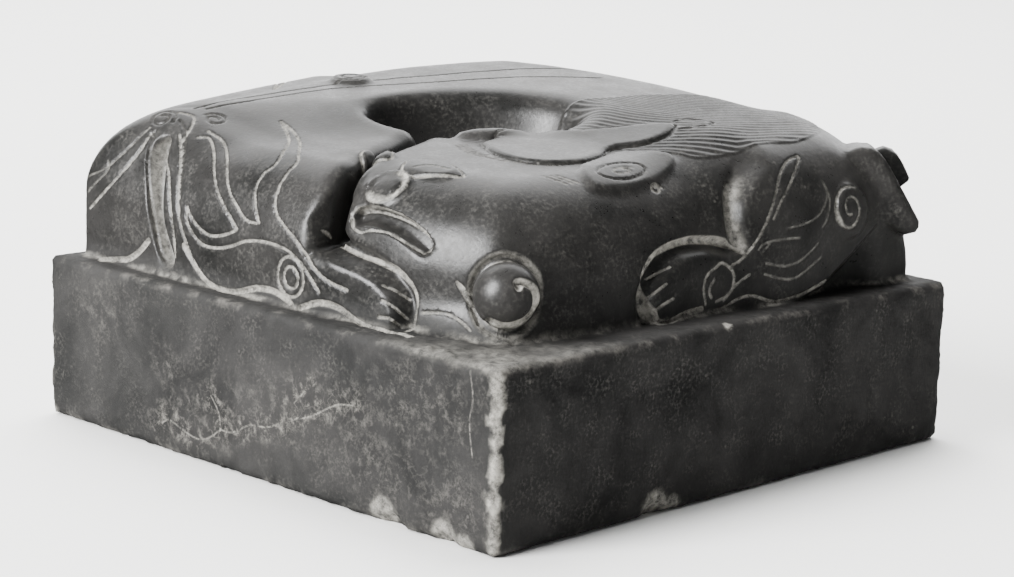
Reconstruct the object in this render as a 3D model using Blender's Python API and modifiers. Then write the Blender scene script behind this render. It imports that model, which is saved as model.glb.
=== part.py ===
"""A square stone seal: a low block with a coiled beast carved from the same stone on top.

The near corner is at (+X, -Y): the head lies there and looks along -Y, the neck and the
foreleg run along the +X side, the back goes round the far sides, and the rump, the tail
and a hind leg come round to the -Y side. The origin is in the middle of the underside.
"""
import bpy
import bmesh
import numpy as np

# Driving sizes, in metres
SIDE = 0.100
BLOCK_HEIGHT = 0.0256
BEAST_HEIGHT = 0.0288
EDGE_ROUNDING = 0.0006
SINK = 0.001

# The beast is drawn in millimetres on a block 100 wide and 25.6 high, with its crest
# 28.8 above the block, and then takes the sizes above
DRAWN_SIDE = 100.0
DRAWN_BLOCK = 25.6
DRAWN_BEAST = 28.8

# Mesh of the carving, in drawn millimetres
GRID_CUTS = 56
VOXEL = 0.95
TRIANGLES = 9300

# Walls and top of the coiled body
WALL = 42.6
WALL_CORNER = 2.5
NEAR_CORNER = 55.5
NEAR_FLARE = 4.0
FAR_CORNER = 50.0
CREST = 51.9
SLOPE = 0.075
DROOP = 2.1
HEAD_DROP = 3.0
SHOULDER_ROUNDING = 12.0
# How far a leg stands out at the hip or shoulder and at its paw, and where along the wall it
# thins from one to the other: hind legs on the -1 sides, forelegs on the +1 sides
LEG_LIFTS = {-1: (3.9, 2.0), 1: (3.2, 1.3)}
LEG_THINS = {-1: (8.0, 24.0), 1: (16.0, 0.0)}
LEG_EDGE = 2.2
LEG_INNER = 32.0
LEG_OUTER = 38.0
HOLLOW_DEPTH = 3.0
LEFT_CORNER = 67.5
LEFT_ROUNDING = 16.0
CORNER_START = 36.0
RIGHT_CORNER = 67.0
RIGHT_START = 27.0
RIGHT_LEAN = 0.5

# Hollow in the middle of the coil, and the gap between the snout and the haunch
PIT_CENTRE = (-1.4, -5.4, 54.0)
PIT_RADII = (17.0, 9.0, 16.5)
PIT_TURN = 45
PIT_EDGE = 5.0
PIT_EDGE_AT_HAUNCH = 2.2
GAP_WIDTH = 1.8
GAP_FLOOR = 34.5
GAP_EDGE = 2.6
GAP_PATH = [(-3, -8), (0, -18), (3.6, -29), (6.2, -35), (8.6, -42), (9.8, -52)]

# Ball in its socket at the near corner
BALL_CENTRE = (39.2, -38.0, 32.2)
BALL_RADIUS = 4.6
SOCKET_RADIUS = 5.9
SOCKET_DEPTH = 1.3

# Outlines seen square on to a wall: along the wall, up
HIND_LEG = [(-60, 20), (-60, 56), (-8, 54), (4, 51), (8.4, 47), (8.6, 42), (7.6, 38.5), (9, 35.4),
            (13, 34.4), (17, 33.6), (20.4, 32.4), (22.9, 30.6), (24.2, 28.2), (24, 20)]
FORE_LEG = [(-13.3, 20), (-13.7, 28.6), (-12.6, 31.6), (-10.4, 33.8), (-7, 35), (-1.5, 35.1), (5.2, 34.4),
            (5, 38.4), (6, 41.8), (9.4, 45.2), (15, 49), (28, 52), (60, 54), (60, 20)]
BELLY_HOLLOW = [(14, 20), (16, 26.2), (24, 28), (30, 31.5), (36, 35.4), (40.5, 36), (43.5, 32.5),
                (44.5, 26), (44.5, 20)]
TAIL_FLUTE = [(-31.5, 44), (-28.7, 39), (-26.6, 32.5), (-24.5, 28.5)]
SHOULDER_FLUTE = [(12.6, 46.6), (8.8, 44.4), (6, 41.8), (5, 39), (5.4, 36), (6.2, 34.6)]
FORE_PAW_GROOVE = [(3.4, 34.8), (-1.5, 35.8), (-7.4, 35.7), (-11.8, 33.6), (-14.3, 29.6), (-13.4, 25.8)]
HIND_PAW_GROOVE = [(9, 36.2), (13, 35.2), (17.6, 34.3), (21.6, 32.6), (24.2, 30.2), (24.9, 27), (24.4, 25.4)]
MOUTH = [(12.3, 39.3), (15, 39.8), (20.5, 39.2), (25.8, 37.2)]
NOSE = (14.6, 43.6)
NOSE_RADIUS = 3.2
CURL = (29.2, 38.2)
CURL_RADII = (3.9, 4.2)

# Outlines seen from above
HORN = [(10.5, -15.5), (9, -8), (11, -3), (15, -0.5), (19.5, 4), (22.5, 8), (26, 10.5), (28, 6.5),
        (27.5, 2), (25, -2.5), (27, -7), (28, -12.5), (25, -17.5), (20.5, -19), (15.5, -18)]
NEAR_EAR = [(29.5, -14.5), (28.7, -10.8), (27, -4), (30.4, 0), (34.2, 1.6), (36.8, -3), (38, -9.7),
            (37.8, -15.5), (36.3, -18.8), (32.5, -17.5)]
FAR_EAR_CENTRE = (8.0, -10.0, 47.9)
FAR_EAR_RADII = (6.0, 2.1, 1.4)
FAR_EAR_TURN = 52
EYES = (((17.2, -31.6), (5.6, 3.1)), ((5.2, -31.0), (3.4, 2.2)))
EYE_HEIGHT = 0.6
TOP_START = 38.0
BACK_CURL = (-28, -7)
BACK_CURL_RADII = (3.8, 3.0)

# Tufts at the right corner: outward from the middle along the corner, up
TUFT_A = [(49, 44), (52.8, 46.3), (54.4, 47.1), (57, 47), (58.6, 45.5), (60.6, 42.4), (62.8, 38.8),
          (64.8, 35.4), (64.2, 34.2), (62.5, 33.4), (60.6, 34.4), (59.2, 35.6), (57.6, 37.4), (55.4, 40)]
TUFT_B = [(56, 44), (59.6, 46.1), (61.6, 45.5), (63.1, 43.3), (64.7, 39.9), (63.5, 38), (60, 40)]
TUFT_A_DEPTH = (-6.5, 1.5)
TUFT_B_DEPTH = (2.0, 6.0)
TUFT_EDGE = 1.0

STONE = (0.075, 0.078, 0.074, 1.0)
ROOT2 = 2 ** 0.5


# Tools for shaping a form by distances
def smooth_min(a, b, k):
    h = np.clip(0.5 + 0.5 * (b - a) / k, 0, 1)
    return b + (a - b) * h - k * h * (1 - h)


def smooth_max(a, b, k):
    return -smooth_min(-a, -b, k)


def ease(start, end, value):
    t = np.clip((value - start) / (end - start), 0, 1)
    return t * t * (3 - 2 * t)


def rounded(a, b, radius):
    """Join two distances so that the edge between them has the radius."""
    a = a + radius
    b = b + radius
    return np.minimum(np.maximum(a, b), 0) + np.hypot(np.maximum(a, 0), np.maximum(b, 0)) - radius


def curve(points, steps=4):
    """A smooth line through the points."""
    points = np.asarray(points, float)
    ends = np.vstack([2 * points[0] - points[1], points, 2 * points[-1] - points[-2]])
    line = []
    for a, b, c, d in zip(ends, ends[1:], ends[2:], ends[3:]):
        for t in np.arange(steps) / steps:
            cubic = (3 * b - a - 3 * c + d) * t ** 3
            line.append(0.5 * (2 * b + (c - a) * t + (2 * a - 5 * b + 4 * c - d) * t ** 2 + cubic))
    line.append(points[-1])
    return np.array(line)


def line_distance(x, y, points):
    best = np.full(x.shape, 1e9)
    for a, b in zip(points, points[1:]):
        a, b = np.asarray(a, float), np.asarray(b, float)
        ab = b - a
        t = np.clip(((x - a[0]) * ab[0] + (y - a[1]) * ab[1]) / (ab @ ab), 0, 1)
        best = np.minimum(best, np.hypot(x - a[0] - t * ab[0], y - a[1] - t * ab[1]))
    return best


def outline_distance(x, y, points):
    """Distance to a closed outline, negative inside it."""
    points = np.asarray(points, float)
    distance = line_distance(x, y, np.vstack([points, points[:1]]))
    inside = np.zeros(x.shape, bool)
    for a, b in zip(points, np.roll(points, -1, axis=0)):
        if a[1] == b[1]:
            continue
        crosses = (a[1] > y) != (b[1] > y)
        inside ^= crosses & (x < (b[0] - a[0]) * (y - a[1]) / (b[1] - a[1]) + a[0])
    return np.where(inside, -distance, distance)


def oval(a, b, centre, radii):
    k = np.hypot((a - centre[0]) / radii[0], (b - centre[1]) / radii[1])
    return (k - 1) * min(radii)


# The beast
def legs(x, y, z):
    """How far the legs, haunches and shoulders stand out of the walls."""
    out = np.zeros(len(x))
    for along, across, side in ((x, y, -1), (y, x, -1), (y, x, 1), (x, y, 1)):
        near = side * across > LEG_INNER
        shape = HIND_LEG if side < 0 else FORE_LEG
        lift, paw_lift = LEG_LIFTS[side]
        lift = lift + (paw_lift - lift) * ease(*LEG_THINS[side], along[near])
        amount = lift * ease(1.0, -LEG_EDGE, outline_distance(along[near], z[near], shape))
        if side > 0:
            hollow = outline_distance(along[near], z[near], BELLY_HOLLOW)
            amount = amount - HOLLOW_DEPTH * ease(0.4, -3.4, hollow)
        out[near] = np.maximum(out[near], amount * ease(LEG_INNER, LEG_OUTER, side * across[near]))
    return out


def body(x, y, z):
    u = (x + y) / ROOT2
    v = (y - x) / ROOT2
    plan = smooth_max(np.abs(x) - WALL, np.abs(y) - WALL, WALL_CORNER)
    plan = smooth_max(plan, -v - NEAR_CORNER - NEAR_FLARE * ease(31, 25, z), 14.0)
    plan = smooth_max(plan, v - FAR_CORNER, 24.0)
    plan = plan - legs(x, y, z)
    rise = np.clip((z - CORNER_START) / (LEFT_ROUNDING + 0.5), 0, 0.99)
    left = -u - LEFT_CORNER + LEFT_ROUNDING * (1 - np.sqrt(1 - rise ** 2))
    right = u - RIGHT_CORNER + RIGHT_LEAN * np.maximum(z - RIGHT_START, 0)
    plan = smooth_max(smooth_max(plan, left, 2.0), right, 3.0)
    top = CREST + SLOPE * v - DROOP * (u / 50) ** 2
    top = top - HEAD_DROP * ease(2, -16, v) * ease(16, -6, y)
    return rounded(plan, z - top, SHOULDER_ROUNDING)


def egg(x, y, z, centre, radii, turn):
    """Distance to an egg shape, turned about the vertical by the angle in degrees."""
    turn = np.radians(turn)
    x, y, z = x - centre[0], y - centre[1], z - centre[2]
    along = x * np.cos(turn) + y * np.sin(turn)
    across = y * np.cos(turn) - x * np.sin(turn)
    scaled = np.stack([along, across, z], -1)
    radii = np.asarray(radii)
    near = np.linalg.norm(scaled / radii, axis=1)
    far = np.linalg.norm(scaled / radii ** 2, axis=1)
    return near * (near - 1) / np.maximum(far, 1e-9)


def gap(x, y, z):
    return np.maximum(line_distance(x, y, GAP_PATH) - GAP_WIDTH / 2, GAP_FLOOR - z)


def tuft(x, y, z, shape, depth):
    u = (x + y) / ROOT2
    v = (y - x) / ROOT2
    thickness = np.abs(v - sum(depth) / 2) - (depth[1] - depth[0]) / 2
    return rounded(outline_distance(u, z, shape), thickness, TUFT_EDGE)


def raised(x, y, z):
    """Horn, near ear, curls, eyes and nose: how far each stands out."""
    out = np.zeros(len(x))
    on_top = ease(TOP_START, TOP_START + 5, z)
    for shape, height, edge in ((HORN, 0.9, 1.2), (NEAR_EAR, 1.0, 1.2)):
        out = np.maximum(out, height * ease(0, -edge, outline_distance(x, y, shape)) * on_top)
    for along, across in ((y, x), (x, y)):
        amount = 0.9 * ease(0.5, -0.7, oval(along, z, CURL, CURL_RADII)) * ease(34, 38, across)
        out = np.maximum(out, amount)
    out = np.maximum(out, 0.8 * ease(0.5, -0.7, oval(x, y, BACK_CURL, BACK_CURL_RADII)) * on_top)
    for centre, radii in EYES:
        out = np.maximum(out, EYE_HEIGHT * ease(0.5, -0.9, oval(x, y, centre, radii)) * on_top)
    nose = np.hypot(x - NOSE[0], z - NOSE[1])
    return np.maximum(out, 0.7 * ease(NOSE_RADIUS + 0.3, NOSE_RADIUS - 0.3, nose) * ease(-30, -36, y))


def carved(x, y, z):
    """Mouth, tail, shoulder and paw grooves: how deep each is cut."""
    front = ease(-34, -38, y)
    out = 1.6 * ease(1.5, 0.6, line_distance(x, z, curve(MOUTH))) * front
    for along, across in ((x, y), (y, x)):
        rear = ease(-34, -38, across)
        out += 2.0 * ease(2.1, 0.2, line_distance(along, z, curve(TAIL_FLUTE))) * rear
        out += 0.8 * ease(1.4, 0.1, line_distance(along, z, curve(HIND_PAW_GROOVE))) * rear
        fore = ease(36, 40, across)
        out += 0.9 * ease(1.4, 0.1, line_distance(along, z, curve(SHOULDER_FLUTE))) * fore
        out += 1.0 * ease(1.5, 0.1, line_distance(along, z, curve(FORE_PAW_GROOVE))) * fore
    nose = np.abs(np.hypot(x - NOSE[0], z - NOSE[1]) - NOSE_RADIUS - 0.8)
    return out + 0.6 * ease(1.1, 0.1, nose) * ease(-30, -36, y)


def beast(points):
    """Distance to the carving, negative inside the stone."""
    x, y, z = points.T
    form = body(x, y, z)
    edge = PIT_EDGE + (PIT_EDGE_AT_HAUNCH - PIT_EDGE) * ease(-6, -18, (x + y) / ROOT2)
    form = smooth_max(form, -egg(x, y, z, PIT_CENTRE, PIT_RADII, PIT_TURN), edge)
    form = smooth_max(form, -gap(x, y, z), GAP_EDGE)
    form = form - raised(x, y, z) + carved(x, y, z)
    form = smooth_min(form, egg(x, y, z, FAR_EAR_CENTRE, FAR_EAR_RADII, FAR_EAR_TURN), 0.6)
    form = smooth_min(form, tuft(x, y, z, TUFT_A, TUFT_A_DEPTH), 0.8)
    form = smooth_min(form, tuft(x, y, z, TUFT_B, TUFT_B_DEPTH), 0.8)
    ball = np.linalg.norm(points - np.array(BALL_CENTRE), axis=1)
    form = smooth_max(form, np.minimum(SOCKET_RADIUS - ball, form + SOCKET_DEPTH), 0.8)
    form = smooth_min(form, ball - BALL_RADIUS, 0.4)
    bottom = DRAWN_BLOCK - SINK * 1000
    return np.maximum(form, bottom - z)


# From the form to a mesh
def read_points(mesh):
    points = np.empty(len(mesh.vertices) * 3)
    mesh.vertices.foreach_get("co", points)
    return points.reshape(-1, 3)


def write_points(mesh, points):
    mesh.vertices.foreach_set("co", np.ascontiguousarray(points, dtype=np.float32).ravel())
    mesh.update()


def settle(points, steps, reach=0.6):
    """Move points along the slope of the form until they lie on its surface."""
    small = 0.02
    for _ in range(steps):
        value = beast(points)
        slope = np.stack([beast(points + small * axis) - value for axis in np.eye(3)], -1) / small
        length = np.maximum((slope ** 2).sum(1), 0.25)
        move = -(value / length)[:, None] * slope
        size = np.linalg.norm(move, axis=1)[:, None]
        points = points + move * np.minimum(1, reach / np.maximum(size, 1e-9))
    return points


def outward(points, centre):
    """Send points along rays from the centre to the first place where the stone ends."""
    ray = points - centre
    ray /= np.linalg.norm(ray, axis=1)[:, None]
    travel = np.full(len(points), 2.0)
    for _ in range(70):
        travel += 0.7 * np.clip(-beast(centre + ray * travel[:, None]), -1, 6)
    return centre + ray * travel[:, None]


def apply_modifier(scene_object, kind, **settings):
    modifier = scene_object.modifiers.new(kind.title(), kind)
    for name, value in settings.items():
        setattr(modifier, name, value)
    view = bpy.context.evaluated_depsgraph_get()
    mesh = bpy.data.meshes.new_from_object(scene_object.evaluated_get(view))
    scene_object.modifiers.clear()
    scene_object.data = mesh
    return mesh


def relax(mesh, rounds):
    """Even out the faces, then put the points back on the form."""
    for _ in range(rounds):
        shape = bmesh.new()
        shape.from_mesh(mesh)
        bmesh.ops.smooth_vert(shape, verts=shape.verts, factor=0.5, use_axis_x=True,
                              use_axis_y=True, use_axis_z=True)
        shape.to_mesh(mesh)
        shape.free()
        write_points(mesh, settle(read_points(mesh), 2))


def make_beast(collection):
    shape = bmesh.new()
    bmesh.ops.create_cube(shape, size=1.0)
    bmesh.ops.subdivide_edges(shape, edges=shape.edges, cuts=int(GRID_CUTS), use_grid_fill=True)
    bmesh.ops.scale(shape, verts=shape.verts, vec=(2 * WALL, 2 * WALL, DRAWN_BEAST))
    bmesh.ops.translate(shape, verts=shape.verts, vec=(0, 0, DRAWN_BLOCK + DRAWN_BEAST / 2))
    mesh = bpy.data.meshes.new("beast")
    shape.to_mesh(mesh)
    shape.free()
    carving = bpy.data.objects.new("beast", mesh)
    collection.objects.link(carving)
    write_points(mesh, settle(outward(read_points(mesh), np.array([0, 0, DRAWN_BLOCK + 1.5])), 2))
    mesh = apply_modifier(carving, "REMESH", mode="VOXEL", voxel_size=VOXEL)
    write_points(mesh, settle(read_points(mesh), 4))
    relax(mesh, 3)
    mesh.calc_loop_triangles()
    ratio = TRIANGLES / len(mesh.loop_triangles)
    mesh = apply_modifier(carving, "DECIMATE", decimate_type="COLLAPSE", ratio=ratio)
    points = read_points(mesh)
    points[:, :2] *= SIDE / DRAWN_SIDE
    points[:, 2] = BLOCK_HEIGHT + (points[:, 2] - DRAWN_BLOCK) * BEAST_HEIGHT / DRAWN_BEAST
    write_points(mesh, points)
    return carving


def make_block(collection):
    shape = bmesh.new()
    bmesh.ops.create_cube(shape, size=1.0)
    bmesh.ops.scale(shape, verts=shape.verts, vec=(SIDE, SIDE, BLOCK_HEIGHT))
    bmesh.ops.translate(shape, verts=shape.verts, vec=(0, 0, BLOCK_HEIGHT / 2))
    mesh = bpy.data.meshes.new("seal")
    shape.to_mesh(mesh)
    shape.free()
    block = bpy.data.objects.new("seal", mesh)
    collection.objects.link(block)
    apply_modifier(block, "BEVEL", width=EDGE_ROUNDING, segments=2)
    return block


def make_collection(name):
    collection = bpy.data.collections.new(name)
    bpy.context.scene.collection.children.link(collection)
    return collection


def main():
    for old in list(bpy.data.objects):
        bpy.data.objects.remove(old, do_unlink=True)
    seal_parts = make_collection("carved stone seal")
    cutters = make_collection("cutters")
    block = make_block(seal_parts)
    carving = make_beast(cutters)
    carving.hide_render = True
    carving.display_type = "WIRE"
    union = block.modifiers.new("Beast", "BOOLEAN")
    union.operation = "UNION"
    union.solver = "EXACT"
    union.object = carving
    stone = bpy.data.materials.new("dark seal stone")
    stone.use_nodes = True
    shader = stone.node_tree.nodes["Principled BSDF"]
    shader.inputs["Base Color"].default_value = STONE
    shader.inputs["Roughness"].default_value = 0.42
    shader.inputs["Metallic"].default_value = 0.0
    block.data.materials.append(stone)
    block.data.shade_smooth()


main()
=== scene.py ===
"""The looks of a carved stone seal: its finished surface, its stage and the camera.

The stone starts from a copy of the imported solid. It is divided finely where the carving is
fine, laid on the form that the solid was made from, and then gets its incised lines, its
combed mane, its worn and chipped edges, and a stone finish with pale dust in the grooves.
The form is drawn in millimetres, with the near corner at (+x, -y), and a drawn millimetre
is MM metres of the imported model.
"""

import bmesh
import bpy
import numpy as np
from mathutils import Matrix, Vector, noise


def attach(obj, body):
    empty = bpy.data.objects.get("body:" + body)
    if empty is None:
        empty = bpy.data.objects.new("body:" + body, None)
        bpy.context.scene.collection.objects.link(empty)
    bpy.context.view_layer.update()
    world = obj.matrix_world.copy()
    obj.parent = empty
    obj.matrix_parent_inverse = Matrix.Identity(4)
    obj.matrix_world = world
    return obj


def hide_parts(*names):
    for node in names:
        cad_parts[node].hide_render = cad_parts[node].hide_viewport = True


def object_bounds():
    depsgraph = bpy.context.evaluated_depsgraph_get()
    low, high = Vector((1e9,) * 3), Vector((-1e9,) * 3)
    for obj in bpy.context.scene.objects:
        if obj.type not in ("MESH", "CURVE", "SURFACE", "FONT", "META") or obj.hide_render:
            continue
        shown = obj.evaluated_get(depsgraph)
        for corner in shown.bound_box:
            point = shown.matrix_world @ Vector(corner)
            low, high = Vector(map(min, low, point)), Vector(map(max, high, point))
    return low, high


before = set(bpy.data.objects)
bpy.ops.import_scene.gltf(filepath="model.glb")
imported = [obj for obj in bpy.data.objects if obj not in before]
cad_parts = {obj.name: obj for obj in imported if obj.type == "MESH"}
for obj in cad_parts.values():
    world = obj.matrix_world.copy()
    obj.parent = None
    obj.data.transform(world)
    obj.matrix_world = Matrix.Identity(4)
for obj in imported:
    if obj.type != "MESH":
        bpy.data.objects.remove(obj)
CAD_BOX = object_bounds()

bl_info = {
    "name": "Carved stone seal",
    "version": (1, 0, 0),
    "blender": (4, 5, 0),
    "location": "3D View > Sidebar > Seal",
    "description": "Finishes a carved stone seal and sets it on a pale stage",
    "category": "Object",
}

# The block and the beast as drawn, in millimetres
DRAWN_SIDE = 100.0
DRAWN_BLOCK = 25.6
MM = (CAD_BOX[1][0] - CAD_BOX[0][0]) / DRAWN_SIDE
ROOT2 = 2 ** 0.5

# Walls and top of the coiled body
WALL = 42.6
WALL_CORNER = 2.5
NEAR_CORNER = 55.5
NEAR_FLARE = 4.0
NEAR_FLARE_HEIGHTS = (31.0, 25.0)
NEAR_ROUNDING = 14.0
FAR_CORNER = 50.0
FAR_ROUNDING = 24.0
CREST = 51.9
SLOPE = 0.075
DROOP = 2.1
HEAD_DROP = 3.0
HEAD_DROPS_TOWARD = (2.0, -16.0)
HEAD_DROPS_BESIDE = (16.0, -6.0)
SHOULDER_ROUNDING = 12.0
# How far a leg stands out at the hip or shoulder and at its paw, and where along the wall it
# thins from one to the other: hind legs on the -1 sides, forelegs on the +1 sides
LEG_LIFTS = {-1: (3.9, 2.0), 1: (3.2, 1.3)}
LEG_THINS = {-1: (8.0, 24.0), 1: (16.0, 0.0)}
LEG_EDGE = (0.7, -1.4)
LEG_INNER = 32.0
LEG_OUTER = 38.0
HOLLOW_DEPTH = 3.0
HOLLOW_EDGE = (0.4, -3.4)
# The left corner is cut off upright, and rounds over above a height. The right one leans in
LEFT_CORNER = 67.5
LEFT_ROUNDING = 16.0
LEFT_EDGE = 2.0
LEFT_ROUNDS_FROM = 36.0
RIGHT_CORNER = 67.0
RIGHT_START = 27.0
RIGHT_LEAN = 0.5
RIGHT_EDGE = 3.0

# Hollow in the middle of the coil, and the gap between the snout and the haunch
PIT_CENTRE = (-1.4, -5.4, 54.0)
PIT_RADII = (17.0, 9.0, 16.5)
PIT_TURN = 45
PIT_EDGE = 5.0
PIT_EDGE_AT_HAUNCH = 2.2
PIT_EDGE_CHANGES = (-6.0, -18.0)
GAP_WIDTH = 1.8
GAP_FLOOR = 34.5
GAP_EDGE = 2.6
GAP_SEARCH = 30
GAP_PATH = [(-3, -8), (0, -18), (3.6, -29), (6.2, -35), (8.6, -42), (9.8, -52)]

# Ball in its socket at the near corner
BALL_CENTRE = (39.2, -38.0, 32.2)
BALL_RADIUS = 4.6
SOCKET_RADIUS = 5.9
SOCKET_DEPTH = 0.7
SOCKET_EDGE = 0.8
BALL_FILLET = 0.9

# Outlines seen square on to a wall: along the wall, up
HIND_LEG = [(-60, 20), (-60, 56), (-8, 54), (4, 51), (8.4, 47), (8.6, 42), (7.6, 38.5), (9, 35.4),
            (13, 34.4), (17, 33.6), (20.4, 32.4), (22.9, 30.6), (24.2, 28.2), (24, 20)]
FORE_LEG = [(-13.3, 20), (-13.7, 28.6), (-12.6, 31.6), (-10.4, 33.8), (-7, 35), (-1.5, 35.1), (5.2, 34.4),
            (5, 38.4), (6, 41.8), (9.4, 45.2), (15, 49), (28, 52), (60, 54), (60, 20)]
BELLY_HOLLOW = [(14, 20), (16, 26.2), (24, 28), (30, 31.5), (36, 35.4), (40.5, 36), (43.5, 32.5),
                (44.5, 26), (44.5, 20)]
TAIL_FLUTE = [(-31.5, 44), (-28.7, 39), (-26.6, 32.5), (-24.5, 28.5)]
SHOULDER_FLUTE = [(12.6, 46.6), (8.8, 44.4), (6, 41.8), (5, 39), (5.4, 36), (6.2, 34.6)]
FORE_PAW_GROOVE = [(3.4, 34.8), (-1.5, 35.8), (-7.4, 35.7), (-11.8, 33.6), (-14.3, 29.6), (-13.4, 25.8)]
HIND_PAW_GROOVE = [(9, 36.2), (13, 35.2), (17.6, 34.3), (21.6, 32.6), (24.2, 30.2), (24.9, 27),
                   (24.4, 25.4)]
MOUTH = [(12.3, 39.3), (15, 39.8), (20.5, 39.2), (25.8, 37.2)]
NOSE = (14.5, -37.9, 44.3)
NOSE_RADIUS = 2.5
NOSE_RING = 3.2
NOSE_RISE = 0.5
NOSE_EDGE = (0.7, 0.2)
CURL = (29.2, 38.2)
CURL_RADII = (3.9, 4.2)
CURL_RISE = 0.9
CURL_EDGE = (0.5, -0.7)
CURL_WALL = (34.0, 38.0)

# Where the carving of a near wall and of a far wall fades in, outward from the middle
NEAR_WALL = (-34.0, -38.0)
FAR_WALL = (36.0, 40.0)

# Grooves of a broad tool: depth, half the width, and half the width of the floor
MOUTH_CUT = (1.6, 1.5, 0.6)
TAIL_CUT = (2.0, 2.1, 0.2)
HIND_PAW_CUT = (0.8, 1.4, 0.1)
SHOULDER_CUT = (0.9, 1.4, 0.1)
FORE_PAW_CUT = (1.0, 1.5, 0.1)
NOSE_CUT = (0.35, 0.45, 0.1)

# Outlines seen from above
HORN = [(10.5, -15.5), (9, -8), (11, -3), (15, -0.5), (19.5, 4), (22.5, 8), (26, 10.5), (28, 6.5),
        (27.5, 2), (25, -2.5), (27, -7), (28, -12.5), (25, -17.5), (20.5, -19), (15.5, -18)]
NEAR_EAR = [(29.5, -14.5), (28.7, -10.8), (27, -4), (30.4, 0), (34.2, 1.6), (36.8, -3), (38, -9.7),
            (37.8, -15.5), (36.3, -18.8), (32.5, -17.5)]
FAR_EAR_CENTRE = (8.0, -10.0, 47.9)
FAR_EAR_RADII = (6.0, 2.1, 1.4)
FAR_EAR_TURN = 52
FAR_EAR_FILLET = 0.6
# How high the horn and the near ear stand, and how wide their edges are, which start a little
# outside the outline
HORN_RISE = (0.55, 0.9)
NEAR_EAR_RISE = (0.75, 1.0)
RISE_STARTS = 0.1
EYES = (((17.2, -31.6), (5.6, 3.1)), ((5.2, -31.0), (3.4, 2.2)))
EYE_HEIGHT = 0.6
EYE_EDGE = (0.5, -0.9)
TOP_START = (38.0, 43.0)
BACK_CURL = (-28, -7)
BACK_CURL_RADII = (3.8, 3.0)
BACK_CURL_RISE = 0.8
MANE = [(16.4, -1.3), (8, 4), (4.9, 8.5), (7.5, 16), (9, 24), (14, 33), (24, 38.5), (32.5, 37),
        (37.5, 30), (39, 22), (37.5, 13), (36, 5.5), (33, 2.5), (27, -1)]

# The mane's locks lie on squared rings about a place at the far side of the neck
MANE_CENTRE = (0.0, 42.0)
MANE_RADII = (38.5, 41.0)
MANE_SQUARENESS = 3.0
MANE_FLOOR = 44.0
MANE_REACH = 3.0
MANE_CLEARANCE = 0.2
# Where the mane's step and its furrows fade in, inward from its outline
MANE_RIM = (-0.15, 0.35)
COMBED_RIM = (0.1, 0.6)

# Tufts at the right corner: outward from the middle along the corner, up
TUFT_A = [(49, 44), (52.8, 46.3), (54.4, 47.1), (57, 47), (58.6, 45.5), (60.6, 42.4), (62.8, 38.8),
          (64.8, 35.4), (64.2, 34.2), (62.5, 33.4), (60.6, 34.4), (59.2, 35.6), (57.6, 37.4), (55.4, 40)]
TUFT_B = [(56, 44), (59.6, 46.1), (61.6, 45.5), (63.1, 43.3), (64.7, 39.9), (63.5, 38), (60, 40)]
TUFT_A_DEPTH = (-6.5, 1.5)
TUFT_B_DEPTH = (2.0, 6.0)
TUFT_EDGE = 1.0
TUFT_FILLET = 0.8
TUFT_REACH = 14.0

# Kinds of incised line: half its width, its depth, how much dust it holds
FINE = (0.25, 0.36, 0.65)
BROAD = (0.50, 0.45, 0.75)
FAINT = (0.22, 0.18, 0.3)
CLEAN = (0.30, 0.30, 0.03)

# A wall's lines are placed along it and up it, where up also grows over the shoulder
WALL_LEAN = 0.7
FRONT_FACE = 46.5
SIDE_FACE = 45.8

# How far out a wall starts, how far along it its lines run, and where the other lines lie
WALL_START = 28
WALL_END = 31
SNOUT_SIDE = 9
SNOUT_FRONT = -33
TOP_FLOOR = 42
CRACK_REACH = 1
# The lines of the two walls in view run down to the ledge, and the others' stop above it
LINES_IN_VIEW_FROM = DRAWN_BLOCK - 1
OTHER_LINES_FROM = DRAWN_BLOCK + 0.5
# Steps of a line's curve from point to point, how far away its distance is worked out, and the
# floor's share of its width
LINE_STEPS = 3
LINE_SEARCH = 2.0
LINE_FLOOR = 0.1


# Tools for shaping a form by distances
def smooth_min(a, b, k):
    """The lesser of two distances, with a fillet over the width k where they are alike."""
    h = np.clip(0.5 + 0.5 * (b - a) / k, 0, 1)
    return b + (a - b) * h - k * h * (1 - h)


def smooth_max(a, b, k):
    """The greater of two distances, with the edge between them softened over the width k."""
    return -smooth_min(-a, -b, k)


def ease(start, end, value):
    """From 0 at the start to 1 at the end, smoothly. The start may be above the end."""
    t = np.clip((value - start) / (end - start), 0, 1)
    return t * t * (3 - 2 * t)


def rounded(a, b, radius):
    """Join two distances so that the edge between them has the radius."""
    a = a + radius
    b = b + radius
    return np.minimum(np.maximum(a, b), 0) + np.hypot(np.maximum(a, 0), np.maximum(b, 0)) - radius


def curve(points, steps=4):
    """A smooth line through the points."""
    points = np.asarray(points, float)
    ends = np.vstack([2 * points[0] - points[1], points, 2 * points[-1] - points[-2]])
    line = []
    for a, b, c, d in zip(ends, ends[1:], ends[2:], ends[3:]):
        for t in np.arange(steps) / steps:
            cubic = (3 * b - a - 3 * c + d) * t ** 3
            line.append(0.5 * (2 * b + (c - a) * t + (2 * a - 5 * b + 4 * c - d) * t ** 2 + cubic))
    line.append(points[-1])
    return np.array(line)


def spiral(centre, radii, start, turns, end_size=1.0, steps=14):
    """An arc, a ring or a curl: start is an angle in degrees, and turns below 0 go clockwise."""
    count = max(3, int(abs(turns) * steps))
    share = np.linspace(0, 1, count + 1)
    angle = np.radians(start) + 2 * np.pi * turns * share
    size = 1 + (end_size - 1) * share
    return [(centre[0] + radii[0] * s * np.cos(a), centre[1] + radii[1] * s * np.sin(a))
            for a, s in zip(angle, size)]


# Further than anything on the seal
FAR = 1e3


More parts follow.
